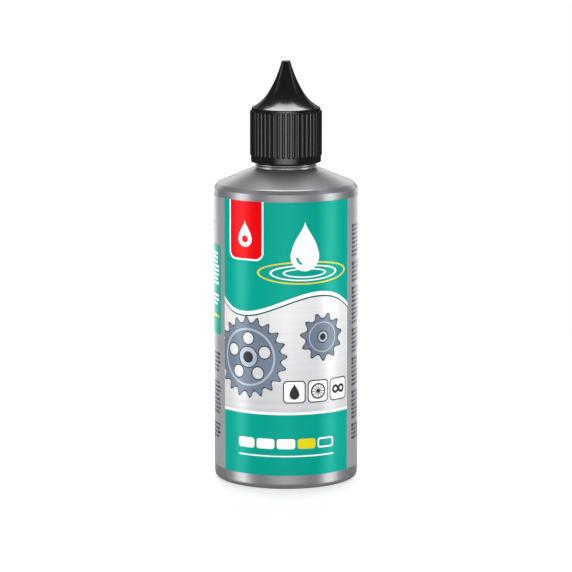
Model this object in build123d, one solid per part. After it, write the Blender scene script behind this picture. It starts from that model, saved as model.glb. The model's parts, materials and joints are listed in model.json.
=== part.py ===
from build123d import *

# Squeeze bottle for bicycle chain lubricant, with a tall ribbed dropper cap.
# Units: mm.  Origin: middle of the base, on the plane the bottle stands on.
# +Z is up, along the axis of the bottle; -Y is the front of the label.

import os
from math import acos, asin, atan2, cos, hypot, pi, radians, sin, sqrt, tan

os.makedirs("parts", exist_ok=True)

# ---------------------------------------------------------------- dimensions
# bottle, blow moulded
BODY_R = 21.06            # outside of the body
BODY_WALL = 1.05
BASE_CORNER_R = 1.70      # rounding between the base and the body
STAND_RING_IN = 17.50     # inner edge of the flat ring that it stands on
BASE_THICK = 1.20
PUSH_UP = 2.20            # height of the hollow under the base
PUSH_UP_EDGE_R = 16.60
PUSH_UP_EDGE_Z = 0.75
PINCH_LEN = 24.0          # weld line that the mould leaves across the base
PINCH_W = 0.50
PINCH_H = 0.30

COLLAR_Z0 = 84.52         # plain collar above the label, leaning in a little
COLLAR_EDGE = (20.92, 86.43)
COLLAR_EDGE_ROUND = 0.15
CREASE_R = 20.12          # crease between the facet over the collar and the shoulder
CREASE_Z = 87.63
CREASE_ROUND = 0.65
SHOULDER_TOP_R = 9.25
SHOULDER_TOP_Z = 92.16
IN_CREASE = (19.35, 86.87)    # the same corner inside
IN_NECK = (6.40, 92.40)

STEP_R = 9.02             # step on top of the shoulder
STEP_Z = 92.78
NECK_BEAD_R = 8.85        # bead over the step, just under the cap
NECK_BEAD_Z0 = 93.10
NECK_BEAD_Z1 = 93.30
NECK_FOOT = (7.60, 94.15)     # cone between the bead and the threaded neck
NECK_R = 6.95             # thread root
NECK_BORE_R = 5.60
NECK_TOP = 105.82
THREAD_R = 7.72           # thread crest
THREAD_PITCH = 3.00
THREAD_Z0 = 97.22
THREAD_TURNS = 1.50

# wrap label
LABEL_THICK = 0.155
LABEL_Z0 = 4.25
LABEL_Z1 = 84.38
LABEL_GAP = 1.20          # gap between its two ends, at the back

# fill
FILL_VOLUME = 100.0e3     # 100 ml
FILL_GAP = 0.03

# dropper insert
PLUG_R = 5.59
PLUG_BORE_R = 4.75
PLUG_Z0 = 99.02
FLANGE_R = 6.85
FLANGE_T = 0.80
NOZZLE_BASE_R = 3.50
NOZZLE_TIP_R = 1.15
NOZZLE_TIP_Z = 116.82
ORIFICE_R = 0.45

# inner cap, the threaded half of the closure
INNER_R = 8.85
INNER_BORE_R = 7.95
INNER_Z0 = 95.47
INNER_TOP_Z = 107.82
INNER_TOP_T = 1.00
INNER_CONE_TOP_Z = 118.22
PIN_R = 0.40
LUG_COUNT = 12
LUG_R0 = 7.00
LUG_R1 = 7.90
LUG_H = 0.80
LUG_ARC = 12.0            # degrees

# outer cap, the ribbed half that is gripped
OUTER_R = 10.26
OUTER_BORE_R = 9.15
OUTER_Z0 = 93.66
RIB_COUNT = 44
RIB_R = 0.42              # radius of a rib
RIB_CREST_R = 10.54
RIB_Z0 = 95.60
RIB_Z1 = 108.80
LAND_R = 10.03            # plain land between the ribs and the spout cover
LAND_Z0 = 108.86
FLARE_Z = 109.58          # lower edge of the tapering spout cover
FLARE_MID = (5.06, 114.16)
FLARE_TANGENT = 31.00     # degrees from upright, at FLARE_MID
FLARE_TOP = (1.52, 122.22)
TIP_Z = 123.24
TIP_ROUND = 0.30
OUTER_WALL = 0.90
CAVITY_TOP_Z = 120.22
SNAP_BORE_R = 8.55        # bead that holds the inner cap in
SNAP_Z0 = 94.67
SNAP_Z1 = 95.32
OUTER_LUG_Z0 = 108.97


# ------------------------------------------------------------------- helpers
def chain(points):
    """Edges of a profile through (x, z, corner radius) points, in order."""
    pts = [(p[0], p[1], p[2] if len(p) > 2 else 0.0) for p in points]
    edges = []
    start = (pts[0][0], pts[0][1])
    for i in range(1, len(pts)):
        x, z, rad = pts[i]
        if rad <= 0 or i == len(pts) - 1:
            edges.append(Line(start, (x, z)))
            start = (x, z)
            continue
        ax, az = pts[i - 1][0] - x, pts[i - 1][1] - z
        bx, bz = pts[i + 1][0] - x, pts[i + 1][1] - z
        la, lb = hypot(ax, az), hypot(bx, bz)
        ax, az, bx, bz = ax / la, az / la, bx / lb, bz / lb
        half = acos(max(-1.0, min(1.0, ax * bx + az * bz))) / 2
        cut = rad / tan(half)
        p0 = (x + ax * cut, z + az * cut)
        p1 = (x + bx * cut, z + bz * cut)
        mx, mz = ax + bx, az + bz
        lm = hypot(mx, mz)
        reach = rad / sin(half) - rad
        pm = (x + mx / lm * reach, z + mz / lm * reach)
        edges.append(Line(start, p0))
        edges.append(ThreePointArc(p0, pm, p1))
        start = p1
    return edges


def arc_by_centre(centre, radius, a0, a1):
    """Arc about a centre, from angle a0 to a1 in radians."""
    am = (a0 + a1) / 2
    p = [(centre[0] + radius * cos(a), centre[1] + radius * sin(a)) for a in (a0, am, a1)]
    return ThreePointArc(*p), p[0], p[2]


def turned(edges):
    """Solid of revolution about Z from a closed profile."""
    face = make_face([Plane.XZ * e for e in edges])
    return revolve(face, axis=Axis.Z)


def tangent_arc_centre(point, tangent_deg, end):
    """Centre and radius of the arc that leaves point at tangent_deg from
    upright, on the way to end; the hollow side faces away from the axis."""
    t = radians(tangent_deg)
    nx, nz = cos(t), sin(t)
    dx, dz = end[0] - point[0], end[1] - point[1]
    radius = (dx * dx + dz * dz) / (2 * (dx * nx + dz * nz))
    return (point[0] + nx * radius, point[1] + nz * radius), radius


def angle_of(centre, p):
    return atan2(p[1] - centre[1], p[0] - centre[0])


def sectors(r0, r1, count, arc_deg, z0, z1):
    """Ring of upright lugs between two radii."""
    ring = Pos(0, 0, z0) * (Cylinder(r1, z1 - z0, align=(Align.CENTER, Align.CENTER, Align.MIN))
                            - Cylinder(r0, z1 - z0, align=(Align.CENTER, Align.CENTER, Align.MIN)))
    width = 2 * r1 * tan(radians(arc_deg / 2))
    bars = []
    for i in range(count):
        bar = Box(r1 + 1.0, width, z1 - z0, align=(Align.MIN, Align.CENTER, Align.MIN))
        bars.append(Rot(0, 0, i * 360.0 / count) * (Pos(0, 0, z0) * bar))
    lugs = []
    for bar in bars:
        lugs += list((ring & bar).solids())
    return lugs


# -------------------------------------------------------------------- bottle
dome_r = (PUSH_UP_EDGE_R ** 2 + (PUSH_UP - PUSH_UP_EDGE_Z) ** 2) / (2 * (PUSH_UP - PUSH_UP_EDGE_Z))
dome_c = PUSH_UP - dome_r


def dome_z(radius, x):
    return dome_c + sqrt(radius ** 2 - x ** 2)


stand_out = BODY_R - BASE_CORNER_R
half_r = PUSH_UP_EDGE_R / 2
shoulder_slope = (SHOULDER_TOP_Z - CREASE_Z) / (CREASE_R - SHOULDER_TOP_R)
inner_r = BODY_R - BODY_WALL
in_dome_r = dome_r + BASE_THICK
in_edge_r = 16.20
in_edge_z = dome_z(in_dome_r, in_edge_r)

outer_edges = [ThreePointArc((0, PUSH_UP), (half_r, dome_z(dome_r, half_r)),
                             (PUSH_UP_EDGE_R, PUSH_UP_EDGE_Z))]
outer_edges += chain([(PUSH_UP_EDGE_R, PUSH_UP_EDGE_Z), (STAND_RING_IN, 0.0, 0.5), (stand_out, 0.0)])
corner, _, _ = arc_by_centre((stand_out, BASE_CORNER_R), BASE_CORNER_R, -pi / 2, 0.0)
outer_edges.append(corner)
outer_edges += chain([
    (BODY_R, BASE_CORNER_R),
    (BODY_R, COLLAR_Z0, 3.0),
    (*COLLAR_EDGE, COLLAR_EDGE_ROUND),
    (CREASE_R, CREASE_Z, CREASE_ROUND),
    (STEP_R, SHOULDER_TOP_Z + (SHOULDER_TOP_R - STEP_R) * shoulder_slope, 0.05),
    (STEP_R, STEP_Z, 0.14),
    (STEP_R - 0.47, STEP_Z + 0.05, 0.05),
    (NECK_BEAD_R, NECK_BEAD_Z0, 0.06),
    (NECK_BEAD_R, NECK_BEAD_Z1, 0.08),
    (NECK_BEAD_R - 0.35, NECK_BEAD_Z1 + 0.10, 0.10),
    (*NECK_FOOT, 0.25),
    (NECK_R, NECK_FOOT[1] + 0.10, 0.30),
    (NECK_R, NECK_TOP, 0.20),
    (NECK_BORE_R, NECK_TOP, 0.12),
    (NECK_BORE_R, 93.30, 1.2),
    (*IN_NECK, 0.8),
    (*IN_CREASE, 1.0),
    (inner_r, 85.10, 3.0),
    (inner_r, BASE_THICK, 1.30),
    (17.30, BASE_THICK, 0.5),
    (in_edge_r, in_edge_z),
])
outer_edges.append(ThreePointArc((in_edge_r, in_edge_z), (in_edge_r / 2, dome_z(in_dome_r, in_edge_r / 2)),
                                 (0, PUSH_UP + BASE_THICK)))
outer_edges.append(Line((0, PUSH_UP + BASE_THICK), (0, PUSH_UP)))
bottle = turned(outer_edges)

# weld line across the hollow of the base
px = PINCH_LEN / 2
lo_r, hi_r = dome_r - PINCH_H, dome_r + 0.5
pinch = turned([
    ThreePointArc((0, dome_z(lo_r, 0)), (px / 2, dome_z(lo_r, px / 2)), (px, dome_z(lo_r, px))),
    Line((px, dome_z(lo_r, px)), (px, dome_z(hi_r, px))),
    ThreePointArc((px, dome_z(hi_r, px)), (px / 2, dome_z(hi_r, px / 2)), (0, dome_z(hi_r, 0))),
    Line((0, dome_z(hi_r, 0)), (0, dome_z(lo_r, 0))),
]) & Box(PINCH_LEN + 2, PINCH_W, 20)
bottle = bottle + pinch

# neck thread: one rounded ridge, wound right-handed
depth = THREAD_R - NECK_R
ridge_path = Helix(pitch=THREAD_PITCH, height=THREAD_PITCH * THREAD_TURNS, radius=NECK_R - 0.10,
                   center=(0, 0, THREAD_Z0))
ridge_pts = [(-0.10, -0.95), (depth * 0.98 + 0.10, -0.38), (depth * 0.98 + 0.10, 0.38), (-0.10, 0.95)]
ridge_face = make_face(Plane(origin=(NECK_R - 0.10, 0, THREAD_Z0), x_dir=(1, 0, 0), z_dir=(0, -1, 0))
                       * Polyline(*ridge_pts, close=True))
ridge = sweep(ridge_face, path=ridge_path, is_frenet=True)
bottle = bottle + ridge

# --------------------------------------------------------------------- label
label_in = BODY_R + 0.005
label_h = LABEL_Z1 - LABEL_Z0
label = (Cylinder(BODY_R + LABEL_THICK, label_h, align=(Align.CENTER, Align.CENTER, Align.MIN))
         - Cylinder(label_in, label_h, align=(Align.CENTER, Align.CENTER, Align.MIN)))
label -= Pos(0, BODY_R, 0) * Box(LABEL_GAP, 4, label_h, align=(Align.CENTER, Align.CENTER, Align.MIN))
label = Pos(0, 0, LABEL_Z0) * label


# ---------------------------------------------------------------- lubricant
def fill_to(level):
    g = FILL_GAP
    fr = in_dome_r + g
    top = PUSH_UP + BASE_THICK + g
    er = in_edge_r - 0.02
    ez = dome_z(fr, er)
    edges = [ThreePointArc((0, top), (er / 2, dome_z(fr, er / 2)), (er, ez))]
    edges += chain([(er, ez), (17.30, BASE_THICK + g, 0.5), (inner_r - g, BASE_THICK + g, 1.30),
                    (inner_r - g, level), (0, level), (0, top)])
    return turned(edges)


trial_level = 40.0
trial = fill_to(trial_level)
fill_level = trial_level + (FILL_VOLUME - trial.volume) / (pi * (inner_r - FILL_GAP) ** 2)
lubricant = fill_to(fill_level)

# ------------------------------------------------------------ dropper insert
flange_z = NECK_TOP + FLANGE_T
dropper_insert = turned(chain([
    (PLUG_BORE_R, PLUG_Z0),
    (PLUG_R - 0.25, PLUG_Z0, 0.15),
    (PLUG_R, PLUG_Z0 + 1.0, 0.5),
    (PLUG_R, NECK_TOP),
    (FLANGE_R, NECK_TOP, 0.08),
    (FLANGE_R, flange_z, 0.25),
    (NOZZLE_BASE_R, flange_z, 0.40),
    (NOZZLE_TIP_R, NOZZLE_TIP_Z, 0.30),
    (ORIFICE_R, NOZZLE_TIP_Z, 0.10),
    (ORIFICE_R, 114.62, 0.5),
    (2.50, 106.60, 0.3),
    (PLUG_BORE_R, 106.10, 0.5),
    (PLUG_BORE_R, PLUG_Z0),
]))

# ----------------------------------------------------------------- inner cap
inner_under = INNER_TOP_Z - INNER_TOP_T
inner_cap = turned(chain([
    (INNER_BORE_R, INNER_Z0),
    (INNER_R, INNER_Z0, 0.20),
    (INNER_R, INNER_TOP_Z, 0.40),
    (4.80, INNER_TOP_Z, 0.50),
    (2.05, INNER_CONE_TOP_Z - 0.90, 0.20),
    (1.60, INNER_CONE_TOP_Z, 0.40),
    (0.0, INNER_CONE_TOP_Z),
    (0.0, NOZZLE_TIP_Z - 0.80),
    (PIN_R, NOZZLE_TIP_Z - 0.80, 0.12),
    (PIN_R, NOZZLE_TIP_Z + 0.50, 0.15),
    (1.45, NOZZLE_TIP_Z + 0.50, 0.20),
    (3.90, inner_under, 0.30),
    (INNER_BORE_R, inner_under, 0.30),
    (INNER_BORE_R, INNER_Z0),
]))
inner_cap = inner_cap + sectors(LUG_R0, LUG_R1, LUG_COUNT, LUG_ARC, INNER_TOP_Z - 0.2, INNER_TOP_Z + LUG_H)

# ----------------------------------------------------------------- outer cap
c_low, r_low = tangent_arc_centre(FLARE_MID, FLARE_TANGENT, (LAND_R, FLARE_Z))
c_up, r_up = tangent_arc_centre(FLARE_MID, FLARE_TANGENT, FLARE_TOP)
low_a0, low_a1 = angle_of(c_low, (LAND_R, FLARE_Z)), angle_of(c_low, FLARE_MID)
up_a0, up_a1 = angle_of(c_up, FLARE_MID), angle_of(c_up, FLARE_TOP)
low_a0, low_a1, up_a0, up_a1 = [a % (2 * pi) for a in (low_a0, low_a1, up_a0, up_a1)]

tip_lean = up_a1 - pi                       # lean of the spike at its top, from upright
tip_cz = TIP_Z - TIP_ROUND
tip_cx = FLARE_TOP[0] - (TIP_ROUND + (tip_cz - FLARE_TOP[1]) * sin(tip_lean)) / cos(tip_lean)
tip_p0 = (tip_cx + TIP_ROUND * cos(tip_lean), tip_cz + TIP_ROUND * sin(tip_lean))

# inside of the spike: the same two arcs, one wall thickness further in
in_up, in_low = r_up + OUTER_WALL, r_low + OUTER_WALL
cav_a = pi + asin((c_up[1] - CAVITY_TOP_Z) / in_up)
bore_a = 2 * pi - acos((OUTER_BORE_R - c_low[0]) / in_low)

flare_low, _, _ = arc_by_centre(c_low, r_low, low_a0, low_a1)
flare_up, _, _ = arc_by_centre(c_up, r_up, up_a0, up_a1)
tip_arc, _, tip_p1 = arc_by_centre((tip_cx, tip_cz), TIP_ROUND, tip_lean, pi / 2)
cav_up, cav_p0, cav_p1 = arc_by_centre(c_up, in_up, cav_a, up_a0)
cav_low, _, bore_p = arc_by_centre(c_low, in_low, low_a1, bore_a)

lip = (OUTER_BORE_R + 0.30, OUTER_Z0)
shell = chain([
    lip,
    (OUTER_R, OUTER_Z0, 0.42),
    (OUTER_R, LAND_Z0, 0.05),
    (LAND_R, LAND_Z0 + 0.03, 0.04),
    (LAND_R, FLARE_Z),
])
shell += [flare_low, flare_up, Line(FLARE_TOP, tip_p0), tip_arc, Line(tip_p1, (0, TIP_Z)),
          Line((0, TIP_Z), (0, CAVITY_TOP_Z)), Line((0, CAVITY_TOP_Z), cav_p0), cav_up, cav_low]
shell += chain([
    bore_p,
    (OUTER_BORE_R, SNAP_Z1, 0.15),
    (SNAP_BORE_R, SNAP_Z1 - 0.15, 0.10),
    (SNAP_BORE_R, SNAP_Z0 + 0.30, 0.10),
    (OUTER_BORE_R, SNAP_Z0, 0.15),
    (OUTER_BORE_R, OUTER_Z0, 0.25),
    lip,
])
outer_cap = turned(shell)

ribs = []
rib_c = RIB_CREST_R - RIB_R
rib_h = RIB_Z1 - RIB_Z0 - 2 * RIB_R
rib = (Pos(rib_c, 0, RIB_Z0 + RIB_R) * Cylinder(RIB_R, rib_h, align=(Align.CENTER, Align.CENTER, Align.MIN))
       + Pos(rib_c, 0, RIB_Z0 + RIB_R) * Sphere(RIB_R)
       + Pos(rib_c, 0, RIB_Z1 - RIB_R) * Sphere(RIB_R))
for i in range(RIB_COUNT):
    # a groove, not a rib, faces the front
    ribs.append(Rot(0, 0, -90 + (i + 0.5) * 360.0 / RIB_COUNT) * rib)
outer_cap = outer_cap + ribs
outer_cap = outer_cap + sectors(LUG_R0, LUG_R1, LUG_COUNT, LUG_ARC, OUTER_LUG_Z0, OUTER_LUG_Z0 + 1.75)

# -------------------------------------------------------------------- export
for name, solid in (("bottle", bottle), ("label", label), ("lubricant", lubricant),
                    ("dropper_insert", dropper_insert), ("inner_cap", inner_cap), ("outer_cap", outer_cap)):
    export_step(solid, "parts/" + name + ".step")
    box = solid.bounding_box()
    print(name, len(solid.solids()), "solid(s)", round(solid.volume, 1), "mm3",
          [round(v, 3) for v in (*box.min, *box.max)])
print("fill level", round(fill_level, 2))
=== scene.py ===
import json
import math
import random

import bpy
import numpy as np
from mathutils import Matrix, Vector
from mathutils.geometry import delaunay_2d_cdt

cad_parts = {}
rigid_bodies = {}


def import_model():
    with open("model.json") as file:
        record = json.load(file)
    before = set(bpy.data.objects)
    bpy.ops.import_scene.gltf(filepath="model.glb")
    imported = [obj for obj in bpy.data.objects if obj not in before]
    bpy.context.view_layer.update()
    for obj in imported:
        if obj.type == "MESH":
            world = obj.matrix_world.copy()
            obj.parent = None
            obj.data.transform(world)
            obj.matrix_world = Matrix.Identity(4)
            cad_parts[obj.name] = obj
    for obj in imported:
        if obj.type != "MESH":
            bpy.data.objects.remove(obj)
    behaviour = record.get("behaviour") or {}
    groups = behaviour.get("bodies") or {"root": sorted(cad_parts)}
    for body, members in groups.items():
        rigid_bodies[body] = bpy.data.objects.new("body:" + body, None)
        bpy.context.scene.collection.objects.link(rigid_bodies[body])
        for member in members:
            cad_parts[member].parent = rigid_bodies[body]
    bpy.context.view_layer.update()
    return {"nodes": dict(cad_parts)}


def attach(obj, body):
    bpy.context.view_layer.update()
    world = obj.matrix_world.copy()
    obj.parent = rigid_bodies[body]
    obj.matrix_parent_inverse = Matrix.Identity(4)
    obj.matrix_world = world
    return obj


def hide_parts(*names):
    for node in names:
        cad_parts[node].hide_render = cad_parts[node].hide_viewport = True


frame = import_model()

MM = 0.001
PI = math.pi

# ------------------------------------------------------------------ dimensions, in mm, as in the CAD model
BODY_R = 21.06
BASE_CORNER_R = 1.70
STAND_RING_IN = 17.50
BASE_THICK = 1.20
PUSH_UP = 2.20
PUSH_EDGE = (16.60, 0.75)
COLLAR_Z0 = 84.52
COLLAR_EDGE = (20.92, 86.43)
CREASE = (20.12, 87.63)
SHOULDER_TOP = (9.25, 92.16)
STEP_R, STEP_Z = 9.02, 92.78
BEAD_R, BEAD_Z0, BEAD_Z1 = 8.85, 93.10, 93.30
NECK_FOOT = (7.60, 94.15)
NECK_R = 6.95
NECK_BORE_R = 5.60
NECK_TOP = 105.82
THREAD_R = 7.70
THREAD_PITCH = 3.0
THREAD_Z0 = 97.22
THREAD_TURNS = 1.5

LABEL_R = 21.208
LABEL_IN = 21.066
LABEL_Z0 = 4.25
LABEL_Z1 = 84.38
LABEL_H = LABEL_Z1 - LABEL_Z0
LABEL_HALF = LABEL_R * PI - 0.60

OUTER_R = 10.26
OUTER_BORE_R = 9.15
OUTER_Z0 = 93.66
RIBS = 44
RIB_R = 0.42
RIB_C = 10.12
RIB_Z0, RIB_Z1 = 95.60, 108.80
LAND_R, LAND_Z0 = 10.03, 108.86
FLARE_Z = 109.58
FLARE_MID = (5.06, 114.16)
FLARE_TANGENT = math.radians(31.00)
FLARE_TOP = (1.52, 122.22)
TIP_Z, TIP_ROUND = 123.24, 0.30
OUTER_WALL = 0.90
CAVITY_TOP_Z = 120.22


# ------------------------------------------------------------------ profiles
def arc(centre, radius, a0, a1, n):
    return [(centre[0] + radius * math.cos(a0 + (a1 - a0) * i / n),
             centre[1] + radius * math.sin(a0 + (a1 - a0) * i / n)) for i in range(n + 1)]


def rounded(points, steps=5, support=0.08):
    """Polyline through (r, z, corner radius) points, with its corners rounded and a
    close pair of points at the ends of each straight run, so that shading stays flat there."""
    pts = [(p[0], p[1], p[2] if len(p) > 2 else 0.0) for p in points]
    pieces = [[(pts[0][0], pts[0][1])]]
    for i in range(1, len(pts) - 1):
        x, z, rad = pts[i]
        if rad <= 0:
            pieces.append([(x, z)])
            continue
        a = Vector((pts[i - 1][0] - x, pts[i - 1][1] - z)).normalized()
        b = Vector((pts[i + 1][0] - x, pts[i + 1][1] - z)).normalized()
        half = math.acos(max(-1.0, min(1.0, a.dot(b)))) / 2
        cut = rad / math.tan(half)
        mid = (a + b).normalized()
        c = Vector((x, z)) + mid * (rad / math.sin(half))
        p0 = Vector((x, z)) + a * cut - c
        p1 = Vector((x, z)) + b * cut - c
        a0, a1 = math.atan2(p0.y, p0.x), math.atan2(p1.y, p1.x)
        while a1 - a0 > PI:
            a1 -= 2 * PI
        while a1 - a0 < -PI:
            a1 += 2 * PI
        n = max(2, int(math.ceil(abs(a1 - a0) / (PI / 2) * steps)))
        pieces.append(arc(c, rad, a0, a1, n))
    pieces.append([(pts[-1][0], pts[-1][1])])
    out = list(pieces[0])
    for piece in pieces[1:]:
        p, q = Vector(out[-1]), Vector(piece[0])
        length = (q - p).length
        if length > support * 4:
            d = (q - p) / length
            out.append(tuple(p + d * support))
            out.append(tuple(q - d * support))
        if length > 1e-6:
            out.append(piece[0])
        out += piece[1:]
    return out


def join(*runs):
    out = []
    for run in runs:
        for p in run:
            if not out or math.hypot(p[0] - out[-1][0], p[1] - out[-1][1]) > 1e-5:
                out.append((float(p[0]), float(p[1])))
    return out


# ------------------------------------------------------------------ mesh helpers
def make_object(name, verts_mm, faces, body, node=None, sharp=35.0):
    mesh = bpy.data.meshes.new(name)
    mesh.from_pydata([tuple(float(c) * MM for c in v) for v in verts_mm], [], faces)
    mesh.validate()
    mesh.polygons.foreach_set("use_smooth", [True] * len(mesh.polygons))
    if sharp is not None:
        mesh.set_sharp_from_angle(angle=math.radians(sharp))
    mesh.update()
    obj = bpy.data.objects.new(name, mesh)
    bpy.context.scene.collection.objects.link(obj)
    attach(obj, body)
    if node:
        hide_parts(node)
    return obj


def lathe(profile, thetas, radius_at=None, closed=False):
    """Vertices and faces of a body of revolution. A profile point on the axis becomes one
    vertex. radius_at(index, r, z, thetas) can shape the rows."""
    thetas = np.asarray(thetas)
    verts, faces, rows = [], [], []
    for i, (r, z) in enumerate(profile):
        if r < 1e-6:
            rows.append([len(verts)])
            verts.append((0.0, 0.0, z))
            continue
        rr = np.full(len(thetas), r) if radius_at is None else radius_at(i, r, z, thetas)
        rows.append(list(range(len(verts), len(verts) + len(thetas))))
        verts += list(zip(rr * np.cos(thetas), rr * np.sin(thetas), np.full(len(thetas), z)))
    count = len(rows) if closed else len(rows) - 1
    m = len(thetas)
    for i in range(count):
        a, b = rows[i], rows[(i + 1) % len(rows)]
        for k in range(m):
            k2 = (k + 1) % m
            if len(a) == 1 and len(b) == 1:
                break
            if len(a) == 1:
                faces.append((a[0], b[k2], b[k]))
            elif len(b) == 1:
                faces.append((a[k], a[k2], b[0]))
            else:
                faces.append((a[k], a[k2], b[k2], b[k]))
    return verts, faces


def add_part(verts, faces, more_verts, more_faces):
    base = len(verts)
    verts += list(more_verts)
    faces += [tuple(base + v for v in f) for f in more_faces]


def helix_ridge(root_r, crest_r, half_root, half_crest, pitch, z0, turns, theta0, inward=False, per_turn=120):
    """Closed ridge wound on a cylinder, its ends fading out over a short run."""
    n = int(per_turn * turns)
    sign = -1.0 if inward else 1.0
    depth = abs(crest_r - root_r)
    section = [(-0.12, -half_root), (0.10, -half_root * 0.90), (0.78, -half_crest * 1.12), (0.95, -half_crest * 0.85),
               (1.0, -half_crest * 0.45), (1.0, half_crest * 0.45), (0.95, half_crest * 0.85),
               (0.78, half_crest * 1.12), (0.10, half_root * 0.90), (-0.12, half_root)]
    verts, faces = [], []
    m = len(section)
    for i in range(n + 1):
        t = i / n * turns
        fade = min(1.0, t / 0.09, (turns - t) / 0.09)
        fade = fade * fade * (3 - 2 * fade)
        th = theta0 + 2 * PI * t
        z = z0 + pitch * t
        for d, s in section:
            k = d * fade if d > 0 else d
            if d > 0:
                k = -0.08 + (d + 0.08) * fade
            r = root_r + sign * depth * k
            verts.append((r * math.cos(th), r * math.sin(th), z + s * (0.35 + 0.65 * fade)))
    for i in range(n):
        for j in range(m):
            a, b = i * m + j, i * m + (j + 1) % m
            c, d = (i + 1) * m + (j + 1) % m, (i + 1) * m + j
            faces.append((a, d, c, b) if not inward else (a, b, c, d))
    faces.append(tuple(range(m)) if not inward else tuple(reversed(range(m))))
    last = n * m
    faces.append(tuple(reversed(range(last, last + m))) if not inward else tuple(range(last, last + m)))
    return verts, faces


def fix_normals(obj):
    import bmesh
    bm = bmesh.new()
    bm.from_mesh(obj.data)
    bmesh.ops.recalc_face_normals(bm, faces=bm.faces)
    bm.to_mesh(obj.data)
    bm.free()
    obj.data.update()


# ------------------------------------------------------------------ bottle
dome_r = (PUSH_EDGE[0] ** 2 + (PUSH_UP - PUSH_EDGE[1]) ** 2) / (2 * (PUSH_UP - PUSH_EDGE[1]))
dome_c = PUSH_UP - dome_r


def dome_z(radius, x):
    return dome_c + math.sqrt(radius ** 2 - x ** 2)


slope = (SHOULDER_TOP[1] - CREASE[1]) / (CREASE[0] - SHOULDER_TOP[0])
lean = math.hypot(1.0, slope)
stand_out = BODY_R - BASE_CORNER_R

under = [(x, dome_z(dome_r, x)) for x in np.linspace(0, PUSH_EDGE[0] - 0.3, 16)]
ring = rounded([under[-1], (PUSH_EDGE[0] + 0.05, PUSH_EDGE[1] - 0.03, 0.35), (STAND_RING_IN, 0.0, 0.40), (stand_out, 0.0)])
corner = arc((stand_out, BASE_CORNER_R), BASE_CORNER_R, -PI / 2, 0.0, 12)
wall = [(BODY_R, BASE_CORNER_R + 0.1), (BODY_R, 3.0), (BODY_R, LABEL_Z0 - 0.3), (BODY_R, LABEL_Z0 + 0.3),
        (BODY_R, 45.0), (BODY_R, LABEL_Z1 - 0.3), (BODY_R, LABEL_Z1 - 0.05)]
upper = rounded([
    wall[-1],
    (BODY_R, COLLAR_Z0, 1.0),
    (*COLLAR_EDGE, 0.15),
    (*CREASE, 0.88),
    (CREASE[0] - 5.0 / lean, CREASE[1] + 5.0 * slope / lean),
    (STEP_R, SHOULDER_TOP[1] + (SHOULDER_TOP[0] - STEP_R) * slope, 0.05),
    (STEP_R, STEP_Z, 0.14),
    (STEP_R - 0.47, STEP_Z + 0.05, 0.05),
    (BEAD_R, BEAD_Z0, 0.06),
    (BEAD_R, BEAD_Z1, 0.08),
    (BEAD_R - 0.35, BEAD_Z1 + 0.10, 0.10),
    (*NECK_FOOT, 0.25),
    (NECK_R, NECK_FOOT[1] + 0.10, 0.30),
    (NECK_R, NECK_TOP, 0.20),
    (NECK_BORE_R, NECK_TOP, 0.12),
    (NECK_BORE_R, 93.30, 1.2),
    (6.40, 92.40, 0.8),
    (19.35, 86.87, 1.0),
    (20.01, 85.10, 3.0),
    (20.01, BASE_THICK, 1.30),
    (17.30, BASE_THICK, 0.5),
    (16.20, dome_z(dome_r + BASE_THICK, 16.20)),
], steps=10, support=0.05)
inside = [(x, dome_z(dome_r + BASE_THICK, x)) for x in np.linspace(16.2, 0, 12)]
bottle_profile = [(r, max(z, 0.0)) for r, z in join(under, ring, corner, wall, upper, inside)]
outer_rows = next(i for i, (r, z) in enumerate(bottle_profile) if z > 90.0 and r < 7.5)

SEAM = [0.0, 0.10, 0.22, 0.38, 0.60, 0.95]
columns = set()
for k in range(240):
    a = k * 1.5
    near = min(abs(a % 180.0), 180.0 - a % 180.0)
    if near > 1.2:
        columns.add(round(a, 4))
for base in (0.0, 180.0):
    for s in SEAM:
        columns.add(round((base + s) % 360.0, 4))
        columns.add(round((base - s) % 360.0, 4))
bottle_thetas = np.radians(sorted(columns))


def bottle_radius(i, r, z, th):
    """Faint flash left by the two mould halves, at both sides."""
    rr = np.full(len(th), r)
    outside = i < outer_rows and z > 0.35 and not LABEL_Z0 - 0.2 < z < LABEL_Z1 + 0.1
    if outside:
        d = np.abs(((th + PI / 2) % PI) - PI / 2) * r
        rr = rr + 0.040 * np.exp(-(d / 0.11) ** 2)
    return rr


bottle_verts, bottle_faces = lathe(bottle_profile, bottle_thetas, bottle_radius)
thread_v, thread_f = helix_ridge(NECK_R, THREAD_R, 0.95, 0.40, THREAD_PITCH, THREAD_Z0, THREAD_TURNS, 0.0)
add_part(bottle_verts, bottle_faces, thread_v, thread_f)

# weld line across the hollow of the base, where the mould pinched the tube shut
weld_v, weld_f = [], []
n = 48
section = [(-0.30, 0.15), (-0.26, -0.02), (-0.17, -0.20), (-0.06, -0.28), (0.06, -0.28), (0.17, -0.20), (0.26, -0.02), (0.30, 0.15)]
for i in range(n + 1):
    x = -12.0 + 24.0 * i / n
    fade = min(1.0, (12.0 - abs(x)) / 1.2)
    fade = fade * fade * (3 - 2 * fade)
    for y, dz in section:
        weld_v.append((x, y, dome_z(dome_r, abs(x)) + (dz * fade if dz < 0 else dz)))
m = len(section)
for i in range(n):
    for j in range(m):
        a, b = i * m + j, i * m + (j + 1) % m
        weld_f.append((a, b, b + m, a + m))
weld_f.append(tuple(reversed(range(m))))
weld_f.append(tuple(range(n * m, n * m + m)))
add_part(bottle_verts, bottle_faces, weld_v, weld_f)

bottle = make_object("bottle_shell", bottle_verts, bottle_faces, "bottle", "bottle", sharp=None)
fix_normals(bottle)
bottle.data.set_sharp_from_angle(angle=math.radians(40))

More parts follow.
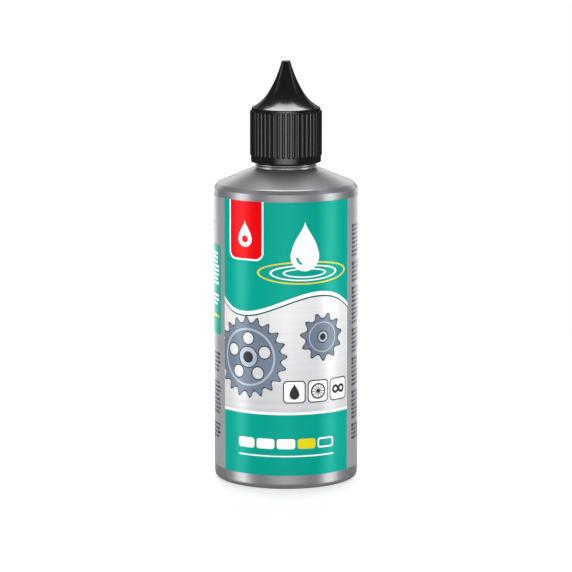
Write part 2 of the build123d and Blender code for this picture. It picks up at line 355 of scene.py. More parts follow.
# ------------------------------------------------------------------ dropper insert
nozzle_profile = rounded([
    (4.75, 99.02),
    (5.34, 99.02, 0.15),
    (5.59, 100.02, 0.5),
    (5.59, NECK_TOP),
    (6.85, NECK_TOP, 0.08),
    (6.85, NECK_TOP + 0.80, 0.25),
    (3.50, NECK_TOP + 0.80, 0.40),
    (1.15, 116.82, 0.30),
    (0.45, 116.82, 0.12),
    (0.45, 114.62, 0.5),
    (2.50, 106.60, 0.3),
    (4.75, 106.10, 0.5),
    (4.75, 99.02),
], steps=6, support=0.06)[:-1]
nozzle_v, nozzle_f = lathe(nozzle_profile, np.linspace(0, 2 * PI, 96, endpoint=False), closed=True)
nozzle = make_object("dropper_nozzle", nozzle_v, nozzle_f, "bottle", "dropper_insert", sharp=None)
fix_normals(nozzle)
nozzle.data.set_sharp_from_angle(angle=math.radians(40))

# ------------------------------------------------------------------ thread inside the inner cap
ridge_v, ridge_f = helix_ridge(7.95, 7.28, 0.85, 0.36, THREAD_PITCH, THREAD_Z0 + 1.5, 1.6, 0.0, inward=True)
inner_thread = make_object("inner_cap_thread", ridge_v, ridge_f, "inner_cap", sharp=None)
fix_normals(inner_thread)
inner_thread.data.set_sharp_from_angle(angle=math.radians(45))


# ------------------------------------------------------------------ outer cap
def hollow_arc(point, end):
    nx, nz = math.cos(FLARE_TANGENT), math.sin(FLARE_TANGENT)
    dx, dz = end[0] - point[0], end[1] - point[1]
    radius = (dx * dx + dz * dz) / (2 * (dx * nx + dz * nz))
    return (point[0] + nx * radius, point[1] + nz * radius), radius


def angle_of(c, p):
    return math.atan2(p[1] - c[1], p[0] - c[0]) % (2 * PI)


c_low, r_low = hollow_arc(FLARE_MID, (LAND_R, FLARE_Z))
c_up, r_up = hollow_arc(FLARE_MID, FLARE_TOP)
low0, low1 = angle_of(c_low, (LAND_R, FLARE_Z)), angle_of(c_low, FLARE_MID)
up0, up1 = angle_of(c_up, FLARE_MID), angle_of(c_up, FLARE_TOP)
tip_lean = up1 - PI
tip_cz = TIP_Z - TIP_ROUND
tip_cx = FLARE_TOP[0] - (TIP_ROUND + (tip_cz - FLARE_TOP[1]) * math.sin(tip_lean)) / math.cos(tip_lean)
cav_a = PI + math.asin((c_up[1] - CAVITY_TOP_Z) / (r_up + OUTER_WALL))
bore_a = 2 * PI - math.acos((OUTER_BORE_R - c_low[0]) / (r_low + OUTER_WALL))

lip = (OUTER_BORE_R + 0.30, OUTER_Z0)
flare_low = arc(c_low, r_low, low0 - 0.035, low1, 26)
skirt_low = rounded([lip, (OUTER_R, OUTER_Z0, 0.42), (OUTER_R, RIB_Z0 - 0.40)], steps=8)
skirt_rows = ([(OUTER_R, z) for z in np.linspace(RIB_Z0 - 0.20, RIB_Z0 + 0.55, 13)]
              + [(OUTER_R, z) for z in (96.9, 98.7, 101.7, 104.7, 107.2)]
              + [(OUTER_R, z) for z in np.linspace(RIB_Z1 - 0.60, RIB_Z1 - 0.02, 11)])
land = rounded([skirt_rows[-1], (OUTER_R, LAND_Z0, 0.05), (LAND_R, LAND_Z0 + 0.03, 0.04), (LAND_R, FLARE_Z, 0.25), flare_low[0]],
               steps=6, support=0.04)
flare_up = arc(c_up, r_up, up0, up1, 18)
tip = arc((tip_cx, tip_cz), TIP_ROUND, tip_lean, PI / 2, 9)
cavity_up = arc(c_up, r_up + OUTER_WALL, cav_a, up0, 8)
cavity_low = arc(c_low, r_low + OUTER_WALL, low1, bore_a, 8)
inner_low = rounded([cavity_low[-1], (OUTER_BORE_R, 95.32, 0.15), (8.55, 95.17, 0.10), (8.55, 94.97, 0.10),
                     (OUTER_BORE_R, 94.67, 0.15), (OUTER_BORE_R, OUTER_Z0, 0.25), lip], steps=4)
cap_profile = join(skirt_low, skirt_rows, land, flare_low, flare_up, tip, [(0.0, TIP_Z)])
cap_outer_rows = len(cap_profile)
cap_profile = cap_profile + [(0.0, CAVITY_TOP_Z)] + join(cavity_up, cavity_low, inner_low)[:-1]

pitch_deg = 360.0 / RIBS
offsets = [0.0, 0.55, 1.05, 1.50, 1.88, 2.15, 2.45, 3.0]
offsets = sorted(set([-o for o in offsets] + offsets)) + [pitch_deg / 2]
cap_thetas = np.radians(sorted(-90.0 + (i + 0.5) * pitch_deg + o for i in range(RIBS) for o in offsets))


def cap_radius(i, r, z, th):
    """Half-round ribs with ball ends, blended into the skirt."""
    rr = np.full(len(th), r)
    if i >= cap_outer_rows or abs(r - OUTER_R) > 0.02 or not (RIB_Z0 - 0.5 < z < RIB_Z1 + 0.2):
        return rr
    d = max(0.0, RIB_Z0 + RIB_R - z, z - (RIB_Z1 - RIB_R))
    if d >= RIB_R:
        return rr
    rib = math.sqrt(RIB_R ** 2 - d ** 2)
    step = math.radians(pitch_deg)
    delta = (th + PI / 2 - step / 2 + step / 2) % step - step / 2
    across = RIB_C * np.sin(delta)
    crest = np.where(np.abs(across) < rib,
                     RIB_C * np.cos(delta) + np.sqrt(np.maximum(rib ** 2 - across ** 2, 0.0)), 0.0)
    k = 0.05
    h = np.maximum(k - np.abs(crest - rr), 0.0) / k
    return np.maximum(crest, rr) + h * h * k / 4


cap_v, cap_f = lathe(cap_profile, cap_thetas, cap_radius, closed=True)
for i in range(12):
    # drive lugs under the roof of the cap
    a0 = math.radians(i * 30.0 - 6.0)
    lug_v, lug_f = [], []
    steps = 4
    for zz in (108.97, 110.72):
        for rr_ in (7.0, 7.9):
            for s in range(steps + 1):
                a = a0 + math.radians(12.0) * s / steps
                lug_v.append((rr_ * math.cos(a), rr_ * math.sin(a), zz))
    q = steps + 1
    for s in range(steps):
        lug_f += [(s, s + 1, q + s + 1, q + s), (2 * q + s, 3 * q + s, 3 * q + s + 1, 2 * q + s + 1),
                  (s, 2 * q + s, 2 * q + s + 1, s + 1), (q + s, q + s + 1, 3 * q + s + 1, 3 * q + s)]
    lug_f += [(0, q, 3 * q, 2 * q), (steps, 2 * q + steps, 3 * q + steps, q + steps)]
    add_part(cap_v, cap_f, lug_v, lug_f)
cap = make_object("ribbed_cap", cap_v, cap_f, "outer_cap", "outer_cap", sharp=None)
fix_normals(cap)
cap.data.set_sharp_from_angle(angle=math.radians(48))


# ------------------------------------------------------------------ label print, drawn flat as (u, v) in mm
def rect(u0, v0, u1, v1):
    return [(u0, v0), (u1, v0), (u1, v1), (u0, v1)]


def round_rect(u0, v0, u1, v1, r, n=6):
    out = []
    for cu, cv, a in ((u1 - r, v1 - r, 0.0), (u0 + r, v1 - r, PI / 2), (u0 + r, v0 + r, PI), (u1 - r, v0 + r, 1.5 * PI)):
        out += [(cu + r * math.cos(a + PI / 2 * i / n), cv + r * math.sin(a + PI / 2 * i / n)) for i in range(n + 1)]
    return out


def ellipse(cu, cv, a, b, n=56):
    return [(cu + a * math.cos(2 * PI * i / n), cv + b * math.sin(2 * PI * i / n)) for i in range(n)]


def drop(cu, cv, w, h, n=36):
    """Oil drop with its round end down: cv is the middle of the round end."""
    r = w / 2
    top = h - r
    out = [(cu + r * math.cos(a), cv + r * math.sin(a)) for a in np.linspace(math.radians(158), math.radians(382), n)]
    right, left = out[-1], out[0]
    tip_r, tip_l = [], []
    for i in range(1, 10):
        t = i / 10
        c1 = (right[0] - 0.10 * w, right[1] + 0.28 * h)
        c2 = (cu + 0.05 * w, cv + top - 0.18 * h)
        e = (cu, cv + top)
        p = [(1 - t) ** 3 * right[k] + 3 * (1 - t) ** 2 * t * c1[k] + 3 * (1 - t) * t * t * c2[k] + t ** 3 * e[k] for k in (0, 1)]
        tip_r.append(tuple(p))
        tip_l.append((2 * cu - p[0], p[1]))
    return out + tip_r + [(cu, cv + top)] + tip_l[::-1]


def gear(cu, cv, root, tip_r, teeth, turn=0.0, per=14):
    out = []
    for i in range(teeth * per):
        a = 2 * PI * i / (teeth * per)
        w = 0.5 + 0.5 * math.cos(teeth * a)
        w = w ** 1.35
        r = root + (tip_r - root) * w
        out.append((cu + r * math.cos(a + turn), cv + r * math.sin(a + turn)))
    return out


shapes = []


def add(colour, poly):
    shapes.append((colour, np.array(poly, float)))


PANEL = 21.2
BAND = 18.0
add("stock", rect(-LABEL_HALF, 0, LABEL_HALF, LABEL_H))
add("silver", rect(-PANEL, 0, PANEL, LABEL_H))

# two toothed wheels on the silver field
for cu, cv, root, tip_r, teeth, turn, holes in ((-11.6, 34.6, 9.9, 11.7, 20, 0.05, 5), (11.2, 40.6, 5.2, 6.8, 11, 0.16, 0)):
    add("ink", gear(cu, cv, root + 0.35, tip_r + 0.38, teeth, turn))
    add("steel", gear(cu, cv, root - 0.02, tip_r - 0.02, teeth, turn))
    add("steel_light", ellipse(cu, cv, root * 0.86, root * 0.86, 72))
    add("steel", ellipse(cu, cv, root * 0.80, root * 0.80, 72))
    for k in range(holes):
        a = 2 * PI * k / holes + 0.3
        add("ink", ellipse(cu + 0.56 * root * math.cos(a), cv + 0.56 * root * math.sin(a), 2.02, 2.02, 36))
        add("silver", ellipse(cu + 0.56 * root * math.cos(a), cv + 0.56 * root * math.sin(a), 1.72, 1.72, 36))
    add("ink", ellipse(cu, cv, 0.30 * root + 0.30, 0.30 * root + 0.30, 48))
    add("steel_light", ellipse(cu, cv, 0.30 * root, 0.30 * root, 48))
    add("ink", ellipse(cu, cv, 0.15 * root + 0.2, 0.15 * root + 0.2, 36))

# wavy upper field
wave = []
p0, p1, p2, p3 = (-PANEL, 51.5), (-9.0, 39.5), (6.0, 63.5), (PANEL, 49.5)
for i in range(61):
    t = i / 60
    wave.append(tuple((1 - t) ** 3 * p0[k] + 3 * (1 - t) ** 2 * t * p1[k] + 3 * (1 - t) * t * t * p2[k] + t ** 3 * p3[k] for k in (0, 1)))


def below(d):
    return [(u, v - d) for u, v in wave]


add("deep", below(1.55) + [(PANEL, LABEL_H), (-PANEL, LABEL_H)])
add("white", below(1.10) + [(PANEL, LABEL_H), (-PANEL, LABEL_H)])
add("teal", wave + [(PANEL, LABEL_H), (-PANEL, LABEL_H)])

# drop with ripples
for a, b, w, colour in ((14.2, 3.35, 0.62, "yellow"), (10.4, 2.35, 0.62, "white"), (6.6, 1.40, 0.62, "white")):
    add(colour, ellipse(5.6, 59.6, a, b, 84))
    add("teal", ellipse(5.6, 59.6, a - w, b - w * 0.62, 84))
add("white", drop(5.6, 64.4, 8.6, 14.4))
add("teal", [(5.6 + x, 64.4 + y) for x, y in
             [(-2.75 * math.cos(a), -2.75 * math.sin(a)) for a in np.linspace(0.10, 1.15, 12)]
             + [(-2.05 * math.cos(a), -2.05 * math.sin(a)) for a in np.linspace(1.10, 0.15, 12)]])

# hanging tab
add("white", round_rect(-18.6, 62.9, -6.6, LABEL_H + 3.0, 2.4))
add("red", round_rect(-18.1, 63.4, -7.1, LABEL_H + 3.0, 2.0))
add("white", drop(-12.6, 69.1, 4.6, 7.6))
add("red", ellipse(-12.6, 69.1, 1.05, 1.05, 28))

# row of square signs
for k in range(3):
    u0 = -0.9 + k * 7.25
    add("ink", round_rect(u0, 21.4, u0 + 6.7, 28.1, 1.25))
    add("white", round_rect(u0 + 0.35, 21.75, u0 + 6.35, 27.75, 0.95))
    cu, cv = u0 + 3.35, 24.75
    if k == 0:
        add("ink", drop(cu, cv - 0.75, 2.9, 4.7))
    elif k == 1:
        add("ink", ellipse(cu, cv, 2.35, 2.35, 40))
        add("white", ellipse(cu, cv, 1.90, 1.90, 40))
        for j in range(6):
            a = PI * j / 6
            c, s = math.cos(a), math.sin(a)
            add("ink", [(cu + 1.95 * c - 0.11 * s, cv + 1.95 * s + 0.11 * c), (cu - 1.95 * c - 0.11 * s, cv - 1.95 * s + 0.11 * c),
                        (cu - 1.95 * c + 0.11 * s, cv - 1.95 * s - 0.11 * c), (cu + 1.95 * c + 0.11 * s, cv + 1.95 * s - 0.11 * c)])
        add("ink", ellipse(cu, cv, 0.52, 0.52, 20))
    else:
        for du in (-1.15, 1.15):
            add("ink", ellipse(cu + du, cv, 1.32, 1.32, 28))
        add("ink", rect(cu - 1.15, cv - 0.78, cu + 1.15, cv + 0.78))
        for du in (-1.15, 1.15):
            add("white", ellipse(cu + du, cv, 0.55, 0.55, 20))

# lower band with a five-step scale
add("white", rect(-PANEL, 0, PANEL, BAND + 0.75))
add("teal", rect(-PANEL, 0, PANEL, BAND))
for k in range(5):
    u0 = -14.9 + k * 6.1
    add("yellow" if k == 3 else "white", round_rect(u0, 7.9, u0 + 5.4, 10.9, 0.8))
    if k == 4:
        add("teal", round_rect(u0 + 0.45, 8.35, u0 + 4.95, 10.45, 0.5))
add("white", rect(-14.9, 5.55, 14.9, 5.95))

# plain stock either side of the panel, which trims what runs over
for side in (-1, 1):
    a, b = sorted((side * PANEL, side * LABEL_HALF))
    add("stock", rect(a, 0, b, LABEL_H))

# side fields with rows of small print, as plain bars
rng = random.Random(11)


def print_rows(u0, u1, v_top, v_bottom, colour, pitch=1.25, high=0.66, marks=True):
    v = v_top
    left = 0
    while v - high > v_bottom:
        if left <= 0:
            left = rng.randint(5, 9)
            head = True
            if v < v_top:
                v -= pitch * 0.9
                if v - high <= v_bottom:
                    break
        else:
            head = False
        u = u0
        if head and marks:
            add(colour, rect(u, v - high * 1.35, u + 1.5, v + high * 0.25))
            u += 2.0
        stop = u1 if left > 1 else u0 + (u1 - u0) * rng.uniform(0.3, 0.8)
        while u < stop - 0.9:
            w = min(rng.uniform(0.9, 3.6), stop - u)
            add(colour, rect(u, v - high, u + w, v))
            u += w + 0.38
        v -= pitch
        left -= 1


print_rows(24.0, 41.0, 72.0, 8.0, "ink")
print_rows(44.0, 62.0, 72.0, 30.0, "ink")
print_rows(-41.0, -24.0, 34.0, 8.0, "ink")
print_rows(-62.0, -44.0, 72.0, 14.0, "ink")
add("teal", round_rect(-41.6, 39.5, -23.4, 66.0, 1.2))
print_rows(-40.2, -25.0, 63.6, 47.5, "white", marks=False)
add("yellow", rect(-40.2, 44.4, -25.0, 45.2))
for k in range(3):
    add("ink", round_rect(-41.4 + k * 4.4, 69.4, -38.0 + k * 4.4, 72.8, 0.5))
    add("white", ellipse(-39.7 + k * 4.4, 71.1, 0.95, 0.95, 20))
for k in range(4):
    add("grey", round_rect(45.0 + k * 4.2, 18.0, 48.4 + k * 4.2, 24.0, 0.5))

INKS = ["stock", "silver", "teal", "deep", "white", "red", "yellow", "ink", "steel", "steel_light", "grey"]


def build_label():
    pts, edges = [], []
    index = {}

    def vert(p):
        key = (round(p[0], 4), round(p[1], 4))
        if key not in index:
            index[key] = len(pts)
            pts.append(key)
        return index[key]

    def clamp(p):
        return (min(max(p[0], -LABEL_HALF), LABEL_HALF), min(max(p[1], 0.0), LABEL_H))

    for _, poly in shapes:
        ids = [vert(clamp(p)) for p in poly]
        for a, b in zip(ids, ids[1:] + ids[:1]):
            if a != b:
                edges.append((a, b))
    step = LABEL_R * math.radians(2.5)
    k = int(LABEL_HALF / step)
    for i in range(-k, k + 1):
        edges.append((vert((i * step, 0.0)), vert((i * step, LABEL_H))))
    v2, _, tris, _, _, _ = delaunay_2d_cdt([Vector(p) for p in pts], edges, [], 0, 1e-5)
    uv = np.array([(v.x, v.y) for v in v2])
    tris = np.array([t for t in tris if len(t) == 3])
    a, b, c = uv[tris[:, 0]], uv[tris[:, 1]], uv[tris[:, 2]]
    area = (b[:, 0] - a[:, 0]) * (c[:, 1] - a[:, 1]) - (b[:, 1] - a[:, 1]) * (c[:, 0] - a[:, 0])
    tris[area < 0] = tris[area < 0][:, ::-1]
    tris = tris[np.abs(area) > 1e-9]
    mid = uv[tris].mean(axis=1)
    colour = np.zeros(len(tris), int)
    for name, poly in shapes:
        lo, hi = poly.min(0), poly.max(0)
        near = np.nonzero((mid[:, 0] > lo[0]) & (mid[:, 0] < hi[0]) & (mid[:, 1] > lo[1]) & (mid[:, 1] < hi[1]))[0]
        if not len(near):
            continue
        px, py = mid[near, 0], mid[near, 1]
        inside_ = np.zeros(len(near), bool)
        x0, y0 = poly[:, 0], poly[:, 1]
        x1, y1 = np.roll(x0, -1), np.roll(y0, -1)
        for e in range(len(poly)):
            if y0[e] == y1[e]:
                continue
            cross = ((y0[e] > py) != (y1[e] > py)) & (px < (x1[e] - x0[e]) * (py - y0[e]) / (y1[e] - y0[e]) + x0[e])
            inside_ ^= cross
        colour[near[inside_]] = INKS.index(name)

    n_ = len(uv)
    th = uv[:, 0] / LABEL_R
    radial = np.stack([np.sin(th), -np.cos(th), np.zeros(n_)], 1)
    z = LABEL_Z0 + uv[:, 1]
    outer = radial * LABEL_R + np.stack([np.zeros(n_), np.zeros(n_), z], 1)
    inner = radial * LABEL_IN + np.stack([np.zeros(n_), np.zeros(n_), z], 1)
    verts = np.concatenate([outer, inner])
    edge_count = {}
    for t in tris:
        for i, j in ((t[0], t[1]), (t[1], t[2]), (t[2], t[0])):
            edge_count[(i, j)] = 1
    rim = [(i, j) for (i, j) in edge_count if (j, i) not in edge_count]
    faces = [tuple(int(x) for x in t) for t in tris]
    slots = [int(c) for c in colour]
    normals = []
    for t in tris:
        normals += [tuple(radial[i]) for i in t]
    for t in tris:
        faces.append(tuple(int(x) + n_ for x in t[::-1]))
        slots.append(0)
        normals += [tuple(-radial[i]) for i in t[::-1]]
    for i, j in rim:
        faces.append((int(j), int(i), int(i) + n_, int(j) + n_))
        slots.append(0)
        if abs(uv[i, 1] - uv[j, 1]) < 1e-6:
            nrm = (0.0, 0.0, 1.0 if uv[i, 1] > LABEL_H / 2 else -1.0)
        else:
            s = 1.0 if uv[i, 0] > 0 else -1.0
            nrm = (s * math.cos(th[i]), s * math.sin(th[i]), 0.0)
        normals += [nrm] * 4
    mesh = bpy.data.meshes.new("wrap_label")
    mesh.from_pydata([tuple(v * MM) for v in verts], [], faces)
    for ink in INKS:
        mesh.materials.append(None)
    mesh.polygons.foreach_set("material_index", slots)
    mesh.polygons.foreach_set("use_smooth", [True] * len(faces))
    mesh.normals_split_custom_set(normals)
    mesh.update()
    obj = bpy.data.objects.new("wrap_label", mesh)
    bpy.context.scene.collection.objects.link(obj)
    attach(obj, "bottle")
    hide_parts("label")
    return obj


label = build_label()


# ------------------------------------------------------------------ materials
def srgb(r, g, b):
    return tuple(((c / 255) / 12.92 if c / 255 <= 0.04045 else ((c / 255 + 0.055) / 1.055) ** 2.4) for c in (r, g, b))


def material(name, colour, vary=0.05, vary_scale=300.0, stretch=(1, 1, 1), metallic=0.0, rough=(0.3, 0.36), rough_scale=700.0,
             bump_scale=900.0, bump=0.00001, spec=0.5, coat=0.0, coat_rough=0.1, second=None, subsurface=0.0, sub_radius=(1, 1, 1),
             transmission=0.0, ior=1.5, fade=None):
    mat = bpy.data.materials.new(name)
    mat.use_nodes = True
    nt = mat.node_tree
    nt.nodes.clear()
    out = nt.nodes.new("ShaderNodeOutputMaterial")
    bsdf = nt.nodes.new("ShaderNodeBsdfPrincipled")
    nt.links.new(bsdf.outputs["BSDF"], out.inputs["Surface"])
    coord = nt.nodes.new("ShaderNodeTexCoord")
    mapping = nt.nodes.new("ShaderNodeMapping")
    mapping.inputs["Scale"].default_value = stretch
    nt.links.new(coord.outputs["Object"], mapping.inputs["Vector"])

    def noise(scale, detail, where):
        node = nt.nodes.new("ShaderNodeTexNoise")
        node.inputs["Scale"].default_value = scale
        node.inputs["Detail"].default_value = detail
        node.inputs["Roughness"].default_value = 0.6
        nt.links.new(where, node.inputs["Vector"])
        return node

    tone = noise(vary_scale, 5.0, mapping.outputs["Vector"])
    mix = nt.nodes.new("ShaderNodeMix")
    mix.data_type = "RGBA"
    low = tuple(min(1.0, c * (1 - vary)) for c in colour)
    high = tuple(min(1.0, c * (1 + vary)) for c in (second or colour))
    mix.inputs["A"].default_value = (*low, 1)
    mix.inputs["B"].default_value = (*high, 1)
    nt.links.new(tone.outputs["Fac"], mix.inputs["Factor"])
    shade = mix.outputs["Result"]
    if fade:
        z0, z1, top_colour = fade
        split = nt.nodes.new("ShaderNodeSeparateXYZ")
        nt.links.new(coord.outputs["Object"], split.inputs["Vector"])
        ramp = nt.nodes.new("ShaderNodeMapRange")
        ramp.inputs["From Min"].default_value = z0
        ramp.inputs["From Max"].default_value = z1
        nt.links.new(split.outputs["Z"], ramp.inputs["Value"])
        blend = nt.nodes.new("ShaderNodeMix")
        blend.data_type = "RGBA"
        nt.links.new(ramp.outputs["Result"], blend.inputs["Factor"])
        nt.links.new(shade, blend.inputs["A"])
        blend.inputs["B"].default_value = (*top_colour, 1)
        shade = blend.outputs["Result"]
    nt.links.new(shade, bsdf.inputs["Base Color"])
    grain = noise(rough_scale, 4.0, mapping.outputs["Vector"])
    span = nt.nodes.new("ShaderNodeMapRange")
    span.inputs["From Min"].default_value = 0.3
    span.inputs["From Max"].default_value = 0.7
    span.inputs["To Min"].default_value = rough[0]
    span.inputs["To Max"].default_value = rough[1]
    nt.links.new(grain.outputs["Fac"], span.inputs["Value"])
    nt.links.new(span.outputs["Result"], bsdf.inputs["Roughness"])
    if bump:
        relief = noise(bump_scale, 3.0, mapping.outputs["Vector"])
        dent = nt.nodes.new("ShaderNodeBump")
        dent.inputs["Strength"].default_value = 1.0
        dent.inputs["Distance"].default_value = bump
        nt.links.new(relief.outputs["Fac"], dent.inputs["Height"])
        nt.links.new(dent.outputs["Normal"], bsdf.inputs["Normal"])
    bsdf.inputs["Metallic"].default_value = metallic
    bsdf.inputs["Specular IOR Level"].default_value = spec
    bsdf.inputs["Coat Weight"].default_value = coat
    bsdf.inputs["Coat Roughness"].default_value = coat_rough
    bsdf.inputs["IOR"].default_value = ior
    bsdf.inputs["Transmission Weight"].default_value = transmission
    if subsurface:
        bsdf.inputs["Subsurface Weight"].default_value = subsurface
        bsdf.inputs["Subsurface Radius"].default_value = sub_radius
        bsdf.inputs["Subsurface Scale"].default_value = 0.001
    return mat


def dress(obj, mat):
    obj.data.materials.clear()
    obj.data.materials.append(mat)


GREY = srgb(128, 127, 130)
dress(bottle, material("bottle_grey", GREY, vary=0.04, vary_scale=2200.0, metallic=0.55, rough=(0.32, 0.38), rough_scale=1600.0,
                       bump_scale=2600.0, bump=0.000003))
dress(nozzle, material("nozzle_natural", (0.82, 0.82, 0.79), vary=0.03, vary_scale=400.0, rough=(0.32, 0.42), bump_scale=1500.0,
                       bump=0.000004, subsurface=0.6, sub_radius=(1.2, 1.2, 1.1)))
inner_mat = material("inner_cap_natural", (0.74, 0.74, 0.72), vary=0.03, vary_scale=400.0, rough=(0.36, 0.46), bump_scale=1300.0,
                     bump=0.000005, subsurface=0.4, sub_radius=(1.0, 1.0, 0.9))
dress(inner_thread, inner_mat)
dress(frame["nodes"]["inner_cap"], inner_mat)
dress(frame["nodes"]["lubricant"], material("oil_amber", (0.70, 0.46, 0.12), vary=0.04, vary_scale=60.0, rough=(0.03, 0.06),
                                            bump=0.0, transmission=0.7, ior=1.47))
dress(cap, material("cap_black", (0.0036, 0.0031, 0.0037), vary=0.06, vary_scale=900.0, rough=(0.20, 0.24), rough_scale=1200.0,
                    bump_scale=2200.0, bump=0.000001, spec=0.5))

TEAL = srgb(1, 150, 133)
film = dict(vary_scale=260.0, rough=(0.28, 0.31), rough_scale=300.0, bump_scale=420.0, bump=0.000002)
inks = {
    "stock": material("film_silver", srgb(140, 140, 144), vary=0.03, metallic=0.10, spec=0.15, **film),
    "silver": material("film_brushed", srgb(172, 172, 175), second=srgb(204, 204, 206), vary=0.04, vary_scale=40.0, stretch=(0.6, 0.6, 40.0),
                       metallic=0.08, spec=0.10, rough=(0.28, 0.36), rough_scale=60.0, bump_scale=80.0, bump=0.000003,
                       fade=(0.020, 0.075, srgb(226, 226, 228))),
    "teal": material("film_teal", TEAL, vary=0.03, metallic=0.06, spec=0.05, **film),
    "deep": material("film_deep", srgb(3, 88, 80), vary=0.05, metallic=0.06, spec=0.05, **film),
    "white": material("film_white", srgb(240, 240, 240), vary=0.01, metallic=0.0, spec=0.10, **film),
    "red": material("film_red", srgb(216, 6, 14), vary=0.04, metallic=0.06, spec=0.05, **film),
    "yellow": material("film_yellow", srgb(220, 200, 16), vary=0.04, metallic=0.05, spec=0.10, **film),
    "ink": material("film_dark", srgb(38, 38, 42), vary=0.08, metallic=0.0, spec=0.12, **film),
    "steel": material("film_steel", srgb(92, 103, 119), second=srgb(116, 128, 144), vary=0.08, vary_scale=120.0, metallic=0.08, spec=0.10,
                      rough=(0.28, 0.31), rough_scale=900.0, bump_scale=1400.0, bump=0.000002),
    "steel_light": material("film_steel_light", srgb(162, 172, 184), vary=0.05, metallic=0.08, spec=0.10, **film),
    "grey": material("film_grey", srgb(106, 107, 111), vary=0.05, metallic=0.08, spec=0.10, **film),
}
for i, key in enumerate(INKS):
    label.data.materials[i] = inks[key]


# ------------------------------------------------------------------ stage, light and camera
def disc(name, radius, rings, segs, z):
    verts, faces = [(0.0, 0.0, z)], []
    radii = [radius * (k / rings) ** 2 for k in range(1, rings + 1)]
    for r in radii:
        verts += [(r * math.cos(2 * PI * s / segs), r * math.sin(2 * PI * s / segs), z) for s in range(segs)]
    for s in range(segs):
        faces.append((0, 1 + s, 1 + (s + 1) % segs))
    for k in range(rings - 1):
        for s in range(segs):
            a, b = 1 + k * segs + s, 1 + k * segs + (s + 1) % segs
            faces.append((a, a + segs, b + segs, b))
    mesh = bpy.data.meshes.new(name)
    mesh.from_pydata(verts, [], faces)
    mesh.update()
    obj = bpy.data.objects.new(name, mesh)
    bpy.context.scene.collection.objects.link(obj)
    return obj


floor = disc("floor", 0.22, 10, 96, -0.00002)
floor_mat = material("floor_white", (0.52, 0.52, 0.525), vary=0.01, vary_scale=6.0, rough=(0.55, 0.65), rough_scale=20.0,
                     bump_scale=40.0, bump=0.0, spec=0.2)
floor_mat.node_tree.nodes["Principled BSDF"].inputs["Emission Color"].default_value = (1.0, 1.0, 1.0, 1)
floor_mat.node_tree.nodes["Principled BSDF"].inputs["Emission Strength"].default_value = 0.60
dress(floor, floor_mat)
# an open stage: what lies under its level still shows in the glossy walls
floor.visible_glossy = False
floor.visible_shadow = False


def area(name, place, target, sx, sy, power):
    data = bpy.data.lights.new(name, "AREA")
    data.shape = "RECTANGLE"
    data.size, data.size_y = sx, sy
    data.energy = power
    obj = bpy.data.objects.new(name, data)
    obj.location = place
    d = Vector(target) - Vector(place)
    obj.rotation_euler = d.to_track_quat("-Z", "Y").to_euler()
    bpy.context.scene.collection.objects.link(obj)
    return obj


side = math.radians(74.5)
for s, tag in ((-1, "left"), (1, "right")):
    area("strip_" + tag, (s * 0.75 * math.sin(side), -0.75 * math.cos(side), -0.05), (0, 0, -0.05), 0.28, 0.60, 4.1)
    area("side_high_" + tag, (s * 0.69, -0.12, 0.80), (0, 0, 0.09), 0.22, 0.22, 0.46)
area("back_low", (0.0, 1.5, -0.16), (0, 0, -0.16), 2.4, 0.28, 4.9)
area("back_high", (0.0, 1.5, 0.56), (0, 0, 0.56), 2.4, 0.58, 9.8)
area("top_box", (0.0, 0.24, 1.0), (0, 0, 0.1), 0.56, 0.52, 9.8)
# the front light fades to its sides: four panels, one before the other
for i, (half, power) in enumerate(((0.25, 0.68), (0.50, 1.80), (0.75, 2.50), (1.00, 3.32))):
    area("front_%d" % i, (0.0, -1.28 - 0.01 * i, -0.04), (0, 0, -0.04), 2 * half, 0.58, power)
# lights for the closure alone: over it, high at both sides, and behind
area("cap_top", (0.0, 0.38, 1.0), (0, 0, 0.1), 0.63, 0.68, 13.7)
for s, tag in ((-1, "left"), (1, "right")):
    area("cap_low_" + tag, (s * 0.75, -0.03, 0.373), (0, 0, 0.12), 0.10, 0.22, 0.31)
    area("cap_high_" + tag, (s * 0.75, -0.03, 0.594), (0, 0, 0.12), 0.10, 0.20, 0.11)
area("cap_back", (0.0, 1.5, 0.56), (0, 0, 0.11), 1.6, 0.5, 0.88)

# flags keep the closure's lights and the others apart
above = bpy.data.collections.new("above_the_flags")
above.objects.link(cap)
under_flags = bpy.data.collections.new("below_the_flags")
for obj in (bottle, label, floor, nozzle, inner_thread, frame["nodes"]["inner_cap"], frame["nodes"]["lubricant"]):
    under_flags.objects.link(obj)
for obj in bpy.context.scene.objects:
    if obj.type == "LIGHT" and not obj.name.startswith("front"):
        obj.light_linking.receiver_collection = above if obj.name.startswith("cap") else under_flags

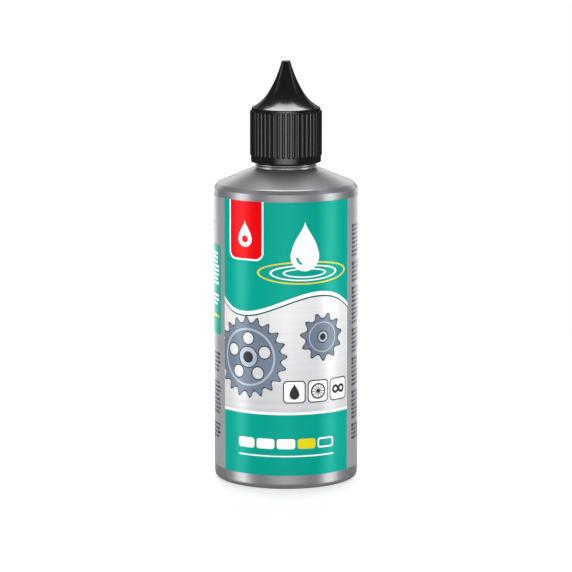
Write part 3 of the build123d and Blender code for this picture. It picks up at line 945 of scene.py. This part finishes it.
world = bpy.data.worlds.new("studio")
bpy.context.scene.world = world
world.use_nodes = True
wt = world.node_tree
wt.nodes.clear()
w_out = wt.nodes.new("ShaderNodeOutputWorld")
w_mix = wt.nodes.new("ShaderNodeMixShader")
w_path = wt.nodes.new("ShaderNodeLightPath")
w_room = wt.nodes.new("ShaderNodeBackground")
w_room.inputs["Color"].default_value = (1.0, 1.0, 1.0, 1)
w_coord = wt.nodes.new("ShaderNodeTexCoord")
w_split = wt.nodes.new("ShaderNodeSeparateXYZ")
w_fall = wt.nodes.new("ShaderNodeMapRange")
w_fall.interpolation_type = "SMOOTHSTEP"
for key, value in (("From Min", 0.1), ("From Max", 0.85), ("To Min", 0.20), ("To Max", 0.05)):
    w_fall.inputs[key].default_value = value
wt.links.new(w_coord.outputs["Generated"], w_split.inputs["Vector"])
wt.links.new(w_split.outputs["Y"], w_fall.inputs["Value"])
wt.links.new(w_fall.outputs["Result"], w_room.inputs["Strength"])
w_back = wt.nodes.new("ShaderNodeBackground")
w_back.inputs["Color"].default_value = (1.0, 1.0, 1.0, 1)
w_back.inputs["Strength"].default_value = 1.0
wt.links.new(w_path.outputs["Is Camera Ray"], w_mix.inputs["Fac"])
wt.links.new(w_room.outputs["Background"], w_mix.inputs[1])
wt.links.new(w_back.outputs["Background"], w_mix.inputs[2])
wt.links.new(w_mix.outputs["Shader"], w_out.inputs["Surface"])

ELEV, DIST, AIM_Z = math.radians(9.21), 0.9459, 0.05674
cam_data = bpy.data.cameras.new("camera")
cam_data.sensor_width = 36.0
cam_data.lens = 3210.9 / 572 * 36.0
cam_data.clip_end = 60.0
cam = bpy.data.objects.new("camera", cam_data)
cam.location = (0.0, -DIST * math.cos(ELEV), AIM_Z + DIST * math.sin(ELEV))
aim = Vector((0, 0, AIM_Z)) - cam.location
cam.rotation_euler = aim.to_track_quat("-Z", "Y").to_euler()
bpy.context.scene.collection.objects.link(cam)
bpy.context.scene.camera = cam

bpy.context.scene.view_settings.view_transform = "Standard"
bpy.context.scene.view_settings.look = "None"
